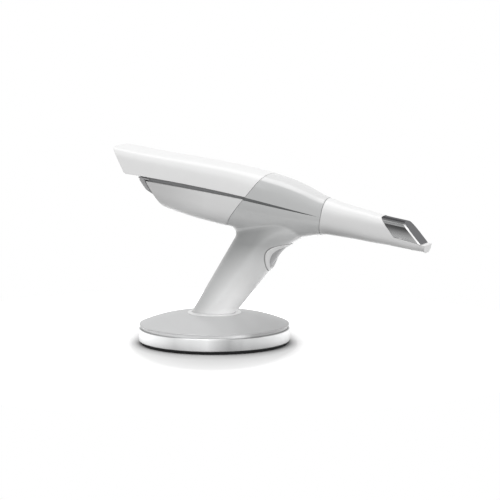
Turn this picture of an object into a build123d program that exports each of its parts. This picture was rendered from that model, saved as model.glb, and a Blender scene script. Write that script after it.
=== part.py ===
from build123d import *
import math
import os

# An intraoral scanner that rests by its handle in a round weighted holder.
# Lengths are in millimetres and angles in degrees. The origin is the centre of the
# holder's foot on the table, with +X towards the scanner's tip and +Z up.
# The scanner's body has a frame of its own, tilted down towards the tip: along its
# length from the holder's axis, across it, and up from the lowest line of its belly.

# Overall form
body_tilt = 10.0
body_lift = 98.3
body_front = 77.0
body_length = 190.0
body_height = 50.1
body_width = 42.0
split_height = 26.7
tip_length = 87.5
tip_root_width = 27.0
tip_root_height = 30.3
stand_radius = 62.0

# Clearances and cuts
fit_gap = 0.1
part_gap = 0.3
slide_gap = 0.4
overrun = 30.0

# Holder
foot_height = 2.4
foot_inset = 1.2
foot_round = 0.8
band_height = 10.3
band_wall = 3.0
band_bevel = 0.5
plate_height = 2.0
neck_height = 2.9
neck_inset = 1.7
neck_wall = 2.4
cover_inset = 0.5
cover_lip = 0.4
cover_edge = 1.3
cover_edge_round = 0.8
cover_rise = 8.5
cover_bulge_share = 0.72
cover_wall = 2.5
collar_radius = 22.0
collar_height = 2.0
collar_stand = 0.5
collar_round = 0.4
ballast_inner = 34.0
ballast_gap = 0.8
ballast_height = 7.5
ballast_bevel = 1.0
boss_inset = 8.0
boss_radius = 3.2
boss_count = 6
base_screw_radius = 1.2
base_screw_head = 2.4
base_screw_length = 8.0
pocket_depth = 11.5
pocket_wall = 1.4
pad_height = 1.5

# Handle
grip_root_rise = 9.7
grip_reach = 90.0
grip_width = 30.0
grip_rear = 26.8
grip_rear_slope = 0.608
grip_wall = 2.4
grip_blend = 6.0
grip_front_shares = (0.073, 0.172, 0.278, 0.378, 0.478, 0.572, 0.655, 0.791, 0.978, 1.0)
grip_width_shares = (1.0, 1.0, 1.01, 1.02, 1.03, 1.05, 1.07, 1.09, 1.11, 1.11)
cap_flange = 1.5
cap_plug = 4.0
cap_plug_wall = 1.8
foot_step = 0.2

# Button on the front of the handle
button_height = 74.4
button_lean = 41.4
bezel_length = 30.0
bezel_width = 26.0
bezel_ring = 3.1
bezel_stand = 0.5
bezel_depth = 1.0
skirt_wall = 1.4
skirt_length = 11.5
ledge_height = 1.0
ledge_width = 1.2
button_sink = 1.2
button_wall = 1.6
button_gap = 0.4
button_travel = 0.8
button_stem_radius = 1.5
board_thickness = 1.2
switch_width = 6.0
switch_height = 2.0
switch_knob_radius = 1.6
switch_knob_height = 1.0

# Body shells
shell_wall = 2.2
housing_wall = 2.4
chassis_wall = 1.8
seam_foot = -3.3
seam_lean_share = 0.5816
seam_gap = 0.3
groove_height = 2.6
groove_middle_share = 0.9
groove_depth = 1.2
groove_end = 3.0
groove_rise = 1.2
groove_middle_rise = 0.7
groove_tip_rise = 1.0
upper_front_rise = 2.4
upper_middle_rise = 1.9
upper_rear_drop = 0.6
lower_front_rise = 0.1
lower_middle_drop = 1.2
lower_rear_drop = 3.0
rear_corner_radius = 3.0
corner_bulge = 0.5
rear_slope_share = 0.76
lower_rear = 76.4
upper_rear = 94.5
end_wall_sink = 2.0
chassis_lap = 6.0
top_drop_shares = (0.089, 0.08, 0.065, 0.043, 0.022, 0.006, 0.0, 0.006, 0.032, 0.102, 0.192)
belly_rise_shares = (0.286, 0.2, 0.119, 0.057, 0.017, 0.001, 0.0, 0.001, 0.006, 0.074, 0.2)
body_width_shares = (1.0, 1.0, 1.0, 0.995, 0.986, 0.976, 0.97, 0.957, 0.91, 0.81, 0.643)
middle_drop_shares = (0.0, 0.0, 0.0, 0.0, 0.0, 0.0, 0.0, 0.0, 0.0, 0.014, 0.038)
crown_arch_shares = (0.012, 0.016, 0.022, 0.028, 0.032, 0.036, 0.036, 0.046, 0.052, 0.052, 0.044)
crown_powers = (8.0, 8.0, 7.5, 7.0, 6.5, 6.2, 6.0, 5.2, 4.7, 4.1, 3.3)
belly_powers = (2.4, 2.4, 2.4, 2.4, 2.4, 2.4, 2.4, 2.4, 2.4, 2.4, 2.4)
outline_points = 40

# Battery
battery_width = 24.0
battery_height = 13.0
battery_length = 46.0
battery_sink = 0.4
battery_floor = 11.0
battery_round = 3.5
battery_cap = 14.0
battery_head_inset = 1.0
battery_head_gap = 1.2
battery_head_low = 3.2
battery_head_rise = 1.0
battery_head_round = 1.0
battery_head_stand = 6.3
battery_foot_stand = 4.9
battery_foot_rise = 2.4
cell_wall = 1.0
cell_gap = 0.1
cell_round = 2.4
bay_rear = -60.0
bay_front = -32.0
bay_rib = 1.6
bay_rib_side = 6.0
terminal_width = 14.0
terminal_height = 7.0
terminal_depth = 3.0

# Electronics in the body
floor_thickness = 1.6
floor_drop = 1.0
standoff_height = 2.4
standoff_radius = 2.2
board_length = 72.0
board_width = 27.0
board_rear = 80.0
board_screw_inset = 3.4
board_screw_radius = 0.9
board_screw_head = 1.8
board_screw_head_height = 1.2
board_screw_length = 3.0
chip_width = 14.0
chip_height = 1.2
connector_length = 11.0
connector_width = 4.0
connector_height = 2.6
connector_place_shares = (0.08, 0.75, 0.92)
board_corner = 1.5
sink_width = 24.0
sink_base = 1.2
sink_height = 3.0
sink_fins = 8
sink_fin_share = 0.4
fan_station = -50.0
fan_height = 5.0
fan_bore = 11.3
fan_floor = 1.2
fan_arm = 2.0
fan_arms = 3
fan_pin_radius = 0.75
rotor_radius = 10.8
rotor_hub = 4.2
rotor_height = 3.2
rotor_gap = 0.3
rotor_blades = 9
rotor_blade_share = 0.9
rotor_blade = 0.8
rotor_lean = 32.0

# Optics in the nose half
bench_thickness = 2.4
bench_drop = 10.4
bench_width = 23.0
bench_length = 51.0
bench_window_width = 9.0
bench_window_front = 3.0
rail_thickness = 2.0
rail_width = 4.0
bench_screw_radius = 0.8
bench_screw_head = 1.5
bench_screw_head_height = 1.0
bench_screw_length = 3.2
block_length = 26.0
block_width = 16.0
block_front = 12.0
block_wall = 1.2
block_round = 1.5
barrel_radius = 3.4
barrel_spread = 7.6
barrel_length = 40.0
barrel_wall = 0.6
barrel_collar = 0.3
barrel_setback = 3.0
barrel_collar_length = 3.0
lens_thickness = 1.6
lens_edge_share = 0.4
lens_curve = 6.5
lamp_length = 7.0
lamp_width = 12.0
lamp_fins = 5
lamp_fin_length = 5.0
lamp_base = 1.5
sensor_board_thickness = 1.2
sensor_board_width = 16.0
sensor_chip = 5.0
sensor_chip_height = 1.0

# Nose and tip
axis_drop = 0.5
tip_root_shift = 0.4
flange_length = 8.0
nose_radius = 10.0
nose_length = 24.0
nose_straight_share = 0.5
nose_end_radius = 8.8
nose_bore = 7.6
window_thickness = 1.5
window_seat = 0.8
seal_width = 1.6
seal_depth = 0.8
seal_stand = 0.12
tip_wall = 1.4
tip_bore_gap = 0.3
tip_collar_length = 7.0
tip_top_drop_shares = (0.0, 0.041, 0.074, 0.096, 0.119, 0.129, 0.129, 0.132, 0.135)
tip_bottom_rise_shares = (0.0, 0.06, 0.084, 0.102, 0.119, 0.14, 0.142, 0.147, 0.16)
tip_width_shares = (1.0, 0.91, 0.85, 0.8, 0.77, 0.752, 0.738, 0.726, 0.718)
tip_crown_powers = (2.5, 2.7, 2.9, 3.1, 3.3, 3.6, 3.8, 3.9, 4.0)
tip_belly_powers = (2.4, 2.5, 2.6, 2.8, 3.0, 3.1, 3.2, 3.3, 3.3)
scoop_rear = 31.5
scoop_front = 8.0
scoop_depth = 0.7
scoop_rise = 1.0
scoop_run = 3.5
cap_rear = 39.6
cap_foot = 26.0
cap_foot_rise = 1.2
cap_shoulder = 5.0
cap_slope_share = 1.2
cap_wall = 0.7
cap_inset = 0.25
cap_gap = 0.15
tip_front_wall = 3.0
tray_height = 6.5
light_window_length = 15.5
light_window_width = 13.0
light_window_front = 6.6
mirror_lift = 0.8
mirror_thickness = 1.0
mirror_width = 15.0
mirror_gap = 0.1

# Places worked out from the sizes above
body_stations = len(top_drop_shares)
body_step = body_length / (body_stations - 1)
tip_stations = len(tip_top_drop_shares)
tip_step = tip_length / (tip_stations - 1)
body_rear = body_front - body_length
tip_end = body_front + tip_length
axis_height = body_height * (1 + belly_rise_shares[-1] - top_drop_shares[-1]) / 2 - axis_drop
tip_root_top = axis_height + tip_root_height / 2 + tip_root_shift
battery_rear = lower_rear - battery_sink
boss_circle = stand_radius - boss_inset
ballast_outer = boss_circle - boss_radius - ballast_gap
plate_top = foot_height + plate_height
band_top = foot_height + band_height
neck_top = band_top + neck_height + cover_lip
cover_bottom = band_top + neck_height - cover_lip
cover_edge_top = cover_bottom + cover_edge
cover_top = cover_edge_top + cover_rise
collar_top = cover_top + collar_stand
collar_bottom = collar_top - collar_height
pocket_floor = collar_top - pocket_depth
grip_bottom = pocket_floor - pad_height
grip_top = body_lift + grip_root_rise
grip_step = (grip_top - grip_bottom) / (len(grip_front_shares) - 1)


def tilted(shape):
    """Moves a shape from the body's own frame to its place above the holder."""
    turn = Location((0, 0, 0), (0, body_tilt, 0))
    return shape.moved(turn * Location((0, 0, body_lift)))


def ring_curve(station, half_width, above, below, middle, arch, crown, belly):
    """A closed outline across the body, with an arched crown and a rounded belly."""
    points = []
    for number in range(outline_points):
        turn = math.tau * number / outline_points
        across, up = math.cos(turn), math.sin(turn)
        power = crown if up >= 0 else belly
        reach = (abs(across) ** power + abs(up) ** power) ** (-1 / power)
        side, lift = across * reach, up * reach
        rise = (above - arch) * lift + arch * (1 - side ** 2) if up >= 0 else below * lift
        points.append((station, half_width * side, middle + rise))
    return Wire([Spline(*points, periodic=True)])


def body_form(inset):
    """The body from behind its rear end to the tip seam, drawn in by the inset."""
    curves = []
    for number in range(body_stations):
        station = body_rear + number * body_step
        top = body_height * (1 - top_drop_shares[number])
        bottom = body_height * belly_rise_shares[number]
        middle = split_height - body_height * middle_drop_shares[number]
        curves.append(ring_curve(
            station, body_width / 2 * body_width_shares[number] - inset,
            top - middle - inset, middle - bottom - inset, middle,
            body_height * crown_arch_shares[number],
            crown_powers[number], belly_powers[number]))
    return Solid.make_loft(curves, ruled=False)


def tip_form(inset):
    """The tip from the seam to its front end, drawn in by the inset."""
    curves = []
    for number in range(tip_stations):
        station = body_front + number * tip_step
        top = tip_root_top - tip_root_height * tip_top_drop_shares[number]
        bottom = tip_root_top - tip_root_height * (1 - tip_bottom_rise_shares[number])
        middle = (top + bottom) / 2
        curves.append(ring_curve(
            station, tip_root_width / 2 * tip_width_shares[number] - inset,
            top - middle - inset, middle - bottom - inset, middle, 0,
            tip_crown_powers[number], tip_belly_powers[number]))
    return Solid.make_loft(curves, ruled=False)


def grip_front(number):
    return grip_reach * grip_front_shares[number]


def grip_back(height):
    return -grip_rear + grip_rear_slope * height


def grip_form(inset):
    """The handle's leaning column of level ovals, drawn in by the inset."""
    curves = []
    for number in range(len(grip_front_shares)):
        height = grip_bottom + number * grip_step
        rear = grip_back(height - grip_bottom)
        front = grip_front(number)
        oval = Ellipse((front - rear) / 2 - inset,
                       grip_width / 2 * grip_width_shares[number] - inset)
        curves.append(oval.wire().moved(Location(((front + rear) / 2, 0, height))))
    return Solid.make_loft(curves, ruled=False)


def side_prism(outline, half_width=None):
    """A side view of the body frame, extruded both ways across the body."""
    reach = half_width or body_width
    return extrude(make_face(outline), amount=reach, both=True)


def side_polygon(points, half_width=None):
    """An extruded side view from points given along and up."""
    outline = Polyline(*[(along, 0, up) for along, up in points], close=True)
    return side_prism(outline, half_width)


def block(along, across, up):
    """A box given by its two ends along, across and up."""
    size = [high - low for low, high in (along, across, up)]
    centre = [(high + low) / 2 for low, high in (along, across, up)]
    return Box(*size).moved(Location(tuple(centre)))


def level_slab(low, high):
    """Everything near the holder between two heights."""
    return block((-overrun - stand_radius, overrun + grip_reach),
                 (-stand_radius, stand_radius), (low, high))


def along_rod(radius, start, end, level, side=0.0):
    """A round bar along the body, from one station to another."""
    rod = Cylinder(radius, end - start)
    return rod.moved(Location(((start + end) / 2, side, level), (0, 90, 0)))


def up_rod(radius, low, high, along=0.0, side=0.0):
    """A round bar that stands up, from one level to another."""
    return Cylinder(radius, high - low).moved(Location((along, side, (low + high) / 2)))


def seam_station(level):
    """Where the white and grey halves meet at a level of the body."""
    return seam_foot + seam_lean_share * level


def lathe(points):
    """A turned piece, from points given outwards and up."""
    outline = Polyline(*[(out, 0, up) for out, up in points], close=True)
    return revolve(make_face(outline), Axis.Z)


def save(name, *solids):
    shape = solids[0] if len(solids) == 1 else Compound(children=list(solids))
    export_step(shape, os.path.join("parts", name + ".step"))


# Holder

def rubber_foot():
    outer = stand_radius - foot_inset
    foot = Cylinder(outer, foot_height).moved(Location((0, 0, foot_height / 2)))
    return fillet(foot.edges().group_by(Axis.Z)[0], foot_round)


def rim_band():
    inner = stand_radius - band_wall
    brink = stand_radius - band_bevel
    return lathe([(inner, foot_height), (brink, foot_height),
                  (stand_radius, foot_height + band_bevel),
                  (stand_radius, band_top - band_bevel),
                  (brink, band_top), (inner, band_top)])


def base_screw_spots():
    return PolarLocations(boss_circle, boss_count, start_angle=360 / boss_count / 2)


def base_plate():
    plate = up_rod(stand_radius - band_wall - fit_gap, foot_height, plate_top)
    for spot in base_screw_spots():
        hole = up_rod(base_screw_radius + fit_gap, foot_height, plate_top)
        sink = Cone(base_screw_head + fit_gap, base_screw_radius + fit_gap,
                    plate_height / 2)
        sink = sink.moved(Location((0, 0, foot_height + plate_height / 4)))
        plate = plate - hole.moved(spot) - sink.moved(spot)
    return plate


def ballast_weight():
    top = plate_top + ballast_height
    weight = lathe([(ballast_inner, plate_top), (ballast_outer, plate_top),
                    (ballast_outer, top), (ballast_inner, top)])
    return chamfer(weight.edges().group_by(Axis.Z)[-1], ballast_bevel)


def neck_ring():
    outer = stand_radius - neck_inset
    return lathe([(outer - neck_wall, band_top), (outer, band_top),
                  (outer, neck_top - fit_gap), (outer - neck_wall, neck_top - fit_gap)])


def dome_profile(drop):
    """The dome from its edge to the collar, lowered by the drop."""
    edge = stand_radius - cover_inset - cover_edge_round
    middle = (edge + collar_radius) / 2
    start = (edge, 0, cover_edge_top - drop)
    through = (middle, 0, cover_edge_top + cover_rise * cover_bulge_share - drop)
    end = (collar_radius, 0, cover_top - drop)
    return start, through, end


def dome_cover():
    outer = stand_radius - cover_inset
    start, through, end = dome_profile(0.0)
    rim = Polyline((0, 0, cover_bottom), (outer, 0, cover_bottom),
                   (outer, 0, cover_edge_top - cover_edge_round))
    edge = ThreePointArc(
        rim @ 1,
        (outer - cover_edge_round * (1 - math.cos(math.pi / 4)), 0,
         cover_edge_top - cover_edge_round * (1 - math.sin(math.pi / 4))),
        start)
    roof = ThreePointArc(start, through, end)
    close = Polyline(end, (0, 0, cover_top), (0, 0, cover_bottom))
    dome = revolve(make_face([*rim.edges(), edge, roof, *close.edges()]), Axis.Z)
    dome = dome - dome_hollow()
    for spot in base_screw_spots():
        boss = up_rod(boss_radius, plate_top, cover_edge_top)
        dome = dome + boss.moved(spot)
    for spot in base_screw_spots():
        bore = up_rod(base_screw_radius + fit_gap, plate_top,
                      plate_top + base_screw_length + part_gap)
        dome = dome - bore.moved(spot)
    recess = up_rod(collar_radius + fit_gap, collar_bottom, cover_top + overrun)
    return dome - recess - socket_form(fit_gap)


def dome_hollow():
    """The space under the dome, with a step that sits on the neck ring."""
    lip = stand_radius - cover_inset - cover_edge_round
    step = stand_radius - neck_inset - neck_wall - fit_gap
    start, through, end = dome_profile(cover_wall)
    start = (step, 0, start[2])
    low = cover_bottom - cover_wall
    floor = Polyline((0, 0, low), (lip, 0, low), (lip, 0, neck_top), (step, 0, neck_top),
                     start)
    roof = ThreePointArc(start, through, end)
    close = Polyline(end, (0, 0, end[2]), (0, 0, low))
    return revolve(make_face([*floor.edges(), roof, *close.edges()]), Axis.Z)


def collar_ring():
    ring = up_rod(collar_radius, collar_bottom, collar_top)
    ring = fillet(ring.edges().group_by(Axis.Z)[-1], collar_round)
    return ring - grip_form(-part_gap)


def socket_form(gap):
    """The handle socket's outside, from the base plate to under the collar."""
    wall = pocket_wall + part_gap + gap
    cup = grip_form(-wall) & level_slab(pocket_floor - pad_height, collar_bottom)
    rear = grip_back(0)
    front = grip_front(0)
    oval = Ellipse((front - rear) / 2 + wall, grip_width / 2 + wall)
    stem = extrude(oval, amount=grip_bottom - plate_top)
    stem = stem.moved(Location(((front + rear) / 2, 0, plate_top)))
    return cup + stem


def handle_socket():
    pocket = grip_form(-part_gap) & level_slab(grip_bottom, collar_bottom + overrun)
    rear = grip_back(0)
    front = grip_front(0)
    hollow = Ellipse((front - rear) / 2 - pocket_wall, grip_width / 2 - pocket_wall)
    hollow = extrude(hollow, amount=grip_bottom - plate_top - pocket_wall)
    hollow = hollow.moved(Location(((front + rear) / 2, 0, plate_top)))
    return socket_form(0.0) - pocket - hollow


def socket_pad():
    return grip_form(0.0) & level_slab(grip_bottom, pocket_floor)


def base_screws():
    screws = []
    for spot in base_screw_spots():
        shank = up_rod(base_screw_radius, foot_height, plate_top + base_screw_length)
        head = Cone(base_screw_head, base_screw_radius, plate_height / 2)
        head = head.moved(Location((0, 0, foot_height + plate_height / 4)))
        screws.append((shank + head).moved(spot))
    return screws


# Button in the front of the handle

def button_seat():
    """The button's place: its axis points out of the front of the handle."""
    step = (button_height - grip_bottom) / grip_step
    low = int(step)
    front = grip_front(low) + (grip_front(low + 1) - grip_front(low)) * (step - low)
    lean = math.radians(button_lean)
    plane = Plane(origin=(front, 0, button_height), x_dir=(0, 1, 0),
                  z_dir=(math.cos(lean), 0, -math.sin(lean)))
    return plane.location


def button_rod(radius, deep, out):
    """A round bar on the button's axis, from a depth to a height over the handle."""
    rod = Cylinder(radius, deep + out)
    return rod.moved(button_seat() * Location((0, 0, (out - deep) / 2)))


def button_oval(inset, deep, out):
    """An oval bar on the button's axis, drawn in from the bezel's rim by the inset."""
    oval = extrude(Ellipse(bezel_width / 2 - inset, bezel_length / 2 - inset),
                   amount=deep + out)
    return oval.moved(button_seat() * Location((0, 0, -deep)))


def grip_skin(outer, inner):
    """The layer of the handle round the button, between two insets."""
    near = level_slab(button_height - bezel_length, button_height + bezel_length)
    return (grip_form(outer) & near) - grip_form(inner)


def button_bezel():
    deep = skirt_length
    flange = button_oval(0, deep, overrun) & grip_skin(-bezel_stand, bezel_depth)
    skirt = button_oval(bezel_ring - skirt_wall, deep, overrun)
    skirt = skirt & grip_skin(0, overrun / 2)
    bezel = flange + skirt - button_oval(bezel_ring, deep - ledge_height, overrun)
    return bezel - button_oval(bezel_ring + ledge_width, deep + overrun, overrun)


def bezel_seat():
    """What the housing gives up for the bezel's flange and skirt."""
    flange = button_oval(-fit_gap, skirt_length, overrun)
    flange = flange - grip_form(bezel_depth + fit_gap)
    return flange, button_oval(bezel_ring - skirt_wall - fit_gap, skirt_length + fit_gap,
                               overrun)


def scan_button():
    top = grip_skin(button_sink, button_sink + button_wall)
    top = top & button_oval(bezel_ring + button_gap, skirt_length, overrun)
    end = switch_top_depth() - button_travel - fit_gap
    stem = button_rod(button_stem_radius, end, -button_sink - button_wall / 2)
    return top + stem


def board_depth():
    return skirt_length - ledge_height - board_thickness


def switch_top_depth():
    return board_depth() - switch_height - switch_knob_height


def button_board():
    return button_oval(bezel_ring + fit_gap, board_depth() + board_thickness,
                       -board_depth())


def tact_switch():
    case = Box(switch_width, switch_width, switch_height)
    middle = switch_height / 2 - board_depth()
    case = case.moved(button_seat() * Location((0, 0, middle)))
    knob = button_rod(switch_knob_radius, board_depth() - switch_height / 2,
                      -switch_top_depth())
    return case + knob


# Grip housing, the grey handle and nose half in one hollow moulding

def groove_cut():
    """The tapering groove along both sides of the nose half."""
    rear = (seam_foot - overrun, 0, split_height + groove_rise)
    front = (body_front - groove_end, 0, axis_height + groove_tip_rise)
    middle = ((rear[0] + front[0]) / 2, 0, split_height + groove_middle_rise)
    high = groove_height / 2
    half = high * groove_middle_share
    upper = ThreePointArc((rear[0], 0, rear[2] + high), (middle[0], 0, middle[2] + half),
                          front)
    lower = ThreePointArc(front, (middle[0], 0, middle[2] - half),
                          (rear[0], 0, rear[2] - high))
    close = Line(lower @ 1, upper @ 0)
    return side_prism([upper, lower, close]) - body_form(groove_depth)


def nose_half_clip():
    """Side view of the grey half: from the leaning seam to the tip seam."""
    front = body_front - seam_gap
    top = body_height + overrun
    return side_polygon([(seam_station(-overrun), -overrun), (front, -overrun),
                         (front, top), (seam_station(top), top)])


def bench_spots():
    """The places of the four screws through the optics bench."""
    front = body_front - flange_length - fit_gap
    side = bench_width / 2 - rail_width / 2
    return [(along, across)
            for along in (front - rail_width, front - bench_length + rail_width)
            for across in (-side, side)]


def bench_rails():
    """Two ledges on the inner side walls that carry the optics bench."""
    top = axis_height - bench_drop
    front = body_front - flange_length - fit_gap
    rails = block((front - bench_length, front), (-body_width, body_width),
                  (top - rail_thickness, top))
    inner = bench_width / 2 - rail_width
    rails = rails - block((body_rear, tip_end), (-inner, inner), (0, body_height))
    rails = rails & body_form(housing_wall - fit_gap)
    for along, side in bench_spots():
        rails = rails - up_rod(bench_screw_radius + fit_gap, 0, body_height, along, side)
    return rails


def grip_housing():
    """Made as one half, with the handle's root blended in, and mirrored to the other."""
    column = level_slab(pocket_floor + cap_flange, grip_top)
    side = block((body_rear, tip_end), (0, body_width), (0, body_lift + 2 * body_height))
    nose = tilted((body_form(0) & nose_half_clip()) - groove_cut()) & side
    handle = grip_form(0) & column & side
    housing = nose + handle
    root = [edge for edge in new_edges(nose, handle, combined=housing)
            if edge.center().Z > button_height and edge.center().Y > grip_blend / 2]
    housing = fillet(root, grip_blend)
    rails = tilted(bench_rails())
    for hollow in (tilted(body_form(housing_wall)), grip_form(grip_wall)):
        housing = housing - (hollow - rails)
    for cut in bezel_seat():
        housing = housing - cut
    return housing + mirror(housing, Plane.XZ)


def handle_foot():
    """The cap that closes the handle's lower end."""
    low = pocket_floor
    seat = low + cap_flange
    flange = grip_form(foot_step) & level_slab(low, seat)
    plug = grip_form(grip_wall + fit_gap) & level_slab(low, seat + cap_plug)
    hollow = grip_form(grip_wall + cap_plug_wall)
    hollow = hollow & level_slab(seat, seat + cap_plug + overrun)
    return flange + plug - hollow


# White shells and the dark chassis between them

def rear_station(rear, level, sink=0.0):
    """Where a rear slant, named by its station at the split, stands at a level."""
    return rear + sink - rear_slope_share * (level - split_height)


def upper_outline(top):
    """Side view of the upper shell, with its long lower edge and rounded rear corner."""
    low = (rear_station(-upper_rear, split_height) + rear_corner_radius, 0,
           split_height - upper_rear_drop)
    corner = (rear_station(-upper_rear, split_height + rear_corner_radius / 2), 0,
              split_height + rear_corner_radius / 2)
    front_level = split_height + upper_front_rise
    front = (seam_station(front_level) - seam_gap, 0, front_level)
    middle = ((low[0] + front[0]) / 2, 0, split_height + upper_middle_rise)
    edge = ThreePointArc(front, middle, low)
    bulge = ((low[0] + corner[0]) / 2 - corner_bulge, 0,
             (low[2] + corner[2]) / 2 - corner_bulge)
    round_corner = ThreePointArc(low, bulge, corner)
    close = Polyline(corner, (rear_station(-upper_rear, top), 0, top),
                     (seam_station(top) - seam_gap, 0, top), front)
    return [edge, round_corner, *close.edges()]


def upper_shell():
    top = body_height + shell_wall
    shell = body_form(0.0) & side_prism(upper_outline(top))
    sink = shell_wall * math.hypot(1, rear_slope_share)
    hollow = side_polygon([
        (rear_station(-upper_rear, top, sink), top), (body_front, top),
        (body_front, -overrun), (rear_station(-upper_rear, -overrun, sink), -overrun)])
    return shell - (body_form(shell_wall) & hollow)


def lower_outline():
    """Side view of the lower shell, from its rear slant to the leaning seam."""
    rear_level = split_height - lower_rear_drop
    front_level = split_height + lower_front_rise
    rear = (rear_station(-lower_rear, rear_level), 0, rear_level)
    front = (seam_station(front_level) - seam_gap, 0, front_level)
    middle = ((rear[0] + front[0]) / 2, 0, split_height - lower_middle_drop)
    edge = ThreePointArc(rear, middle, front)
    close = Polyline(front, (seam_station(-overrun) - seam_gap, 0, -overrun),
                     (rear_station(-lower_rear, -overrun), 0, -overrun), rear)
    return [edge, *close.edges()]


def lower_shell():
    shell = body_form(0.0) & side_prism(lower_outline())
    return shell - body_form(shell_wall)


def chassis_side(sink, lap, low, high):
    """Side view of the chassis between two levels, behind the leaning front edge."""
    rear = -upper_rear if high > split_height else -lower_rear
    return side_polygon([
        (rear_station(rear, low, sink), low), (seam_station(low) + lap, low),
        (seam_station(high) + lap, high), (rear_station(rear, high, sink), high)])


def board_spots():
    """The places of the four screws through the main board."""
    side = board_width / 2 - board_screw_inset
    return [(along, across)
            for along in (-board_rear + board_screw_inset,
                          -board_rear + board_length - board_screw_inset)
            for across in (-side, side)]


def inner_chassis():
    outer = body_form(housing_wall + fit_gap)
    inner = body_form(housing_wall + fit_gap + chassis_wall)
    top = body_height
    floor_top = split_height + floor_thickness
    rear_sink = shell_wall * math.hypot(1, rear_slope_share) + part_gap
    frame = outer & (chassis_side(end_wall_sink, chassis_lap, -overrun, split_height)
                     + chassis_side(rear_sink, chassis_lap, split_height, top))
    lower = inner & chassis_side(end_wall_sink + chassis_wall, chassis_lap + overrun,
                                 -overrun, split_height)
    upper = inner & chassis_side(rear_sink + chassis_wall, chassis_lap + overrun,
                                 floor_top, top)
    for side in (-bay_rib_side, bay_rib_side):
        lower = lower - block((bay_rear, bay_front), (side - bay_rib / 2, side + bay_rib / 2),
                              (-overrun, battery_floor - slide_gap))
    for along, side in board_spots():
        standoff_top = floor_top + standoff_height
        upper = upper - up_rod(standoff_radius, 0, standoff_top, along, side)
        frame = frame - up_rod(board_screw_radius + fit_gap,
                               standoff_top - board_screw_length, standoff_top, along, side)
    return frame - lower - upper - battery_block(slide_gap, overrun)


# Battery, which pulls out of the rear end

def battery_block(gap, reach):
    """The battery's long body, with a gap all round, reaching out of the rear."""
    across = battery_width / 2 + gap
    body = block((-battery_rear - reach, -battery_rear + battery_length + gap),
                 (-across, across), (battery_floor - gap, battery_floor + battery_height + gap))
    long_edges = body.edges().filter_by(Axis.X)
    return fillet(long_edges, battery_round)


def battery_head():
    """The grip of the battery, which carries the lower shell's form past its rear slant."""
    low = battery_floor + battery_head_low
    foot = low + battery_foot_rise
    high = battery_floor + battery_height + battery_head_rise
    head = side_polygon([
        (rear_station(-lower_rear, high, -battery_head_gap), high),
        (rear_station(-lower_rear, high, -battery_head_stand), high),
        (rear_station(-lower_rear, foot, -battery_foot_stand), foot),
        (rear_station(-lower_rear, low, -battery_head_gap), low)])
    rims = head.edges().filter_by(Axis.Y)
    outer = [edge for edge in rims
             if edge.center().X < rear_station(-lower_rear, edge.center().Z,
                                               -battery_foot_stand / 2)]
    return fillet(outer, battery_head_round) & body_form(battery_head_inset)


def battery_case():
    high = battery_floor + battery_height
    low = battery_floor + battery_head_low + battery_foot_rise
    inside = end_wall_sink - slide_gap
    neck = -battery_head_gap - battery_head_round
    side = side_polygon([
        (battery_length, 0), (battery_length, high + overrun),
        (rear_station(-lower_rear, high + overrun, neck), high + overrun),
        (rear_station(-lower_rear, low, neck), low),
        (rear_station(-lower_rear, low, inside), low),
        (rear_station(-lower_rear, 0, inside), 0)])
    cavity = block((-battery_rear + battery_cap, -battery_rear + battery_length - cell_wall),
                   (-battery_width / 2 + cell_wall, battery_width / 2 - cell_wall),
                   (battery_floor + cell_wall, high - cell_wall))
    return battery_head() + (battery_block(0, 0) & side) - cavity


def battery_cells():
    wall = cell_wall + cell_gap
    width = battery_width / 2 - wall - cell_gap
    cells = []
    for side in (-1, 1):
        middle = side * (width / 2 + cell_gap)
        cell = block((-battery_rear + battery_cap + cell_gap,
                      -battery_rear + battery_length - wall),
                     (middle - width / 2, middle + width / 2),
                     (battery_floor + wall, battery_floor + battery_height - wall))
        cells.append(fillet(cell.edges().filter_by(Axis.X), cell_round))
    return cells


def battery_terminal():
    """The contact block that meets the battery's front end, hung from the floor."""
    start = -battery_rear + battery_length + slide_gap
    middle = battery_floor + battery_height / 2
    post = block((start + terminal_depth / 2, start + terminal_depth),
                 (-terminal_width / 2, terminal_width / 2),
                 (middle - terminal_height / 2, split_height))
    face = block((start, start + terminal_depth), (-terminal_width / 2, terminal_width / 2),
                 (middle - terminal_height / 2, middle + terminal_height / 2))
    return face + post


# Electronics on the chassis floor

def board_bottom():
    return split_height + floor_thickness + standoff_height


def main_board():
    low = board_bottom()
    high = low + board_thickness
    board = block((-board_rear, -board_rear + board_length),
                  (-board_width / 2, board_width / 2), (low, high))
    board = fillet(board.edges().filter_by(Axis.Z), board_corner)
    chip = block((fan_station - chip_width / 2, fan_station + chip_width / 2),
                 (-chip_width / 2, chip_width / 2), (high, high + chip_height))
    board = board + chip
    for place_share in connector_place_shares:
        middle = -board_rear + board_length * place_share
        board = board + block(
            (middle - connector_width / 2, middle + connector_width / 2),
            (-connector_length / 2, connector_length / 2), (high, high + connector_height))
    for along, side in board_spots():
        board = board - up_rod(board_screw_radius + fit_gap, low, high, along, side)
    return board


def board_screws():
    top = board_bottom() + board_thickness
    screws = []
    for along, side in board_spots():
        shank = up_rod(board_screw_radius, top - board_screw_length, top, along, side)
        head = up_rod(board_screw_head, top, top + board_screw_head_height, along, side)
        screws.append(shank + head)
    return screws


def sink_bottom():
    return board_bottom() + board_thickness + chip_height


def heat_sink():
    half = sink_width / 2
    low = sink_bottom()
    sink = block((fan_station - half, fan_station + half), (-half, half),
                 (low, low + sink_base))
    pitch = sink_width / sink_fins
    for number in range(sink_fins):
        middle = -half + pitch * (number + 0.5)
        fin = pitch * sink_fin_share / 2
        sink = sink + block((fan_station - half, fan_station + half),
                            (middle - fin, middle + fin), (low, low + sink_height))
    return sink


def fan_bottom():
    return sink_bottom() + sink_height


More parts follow.
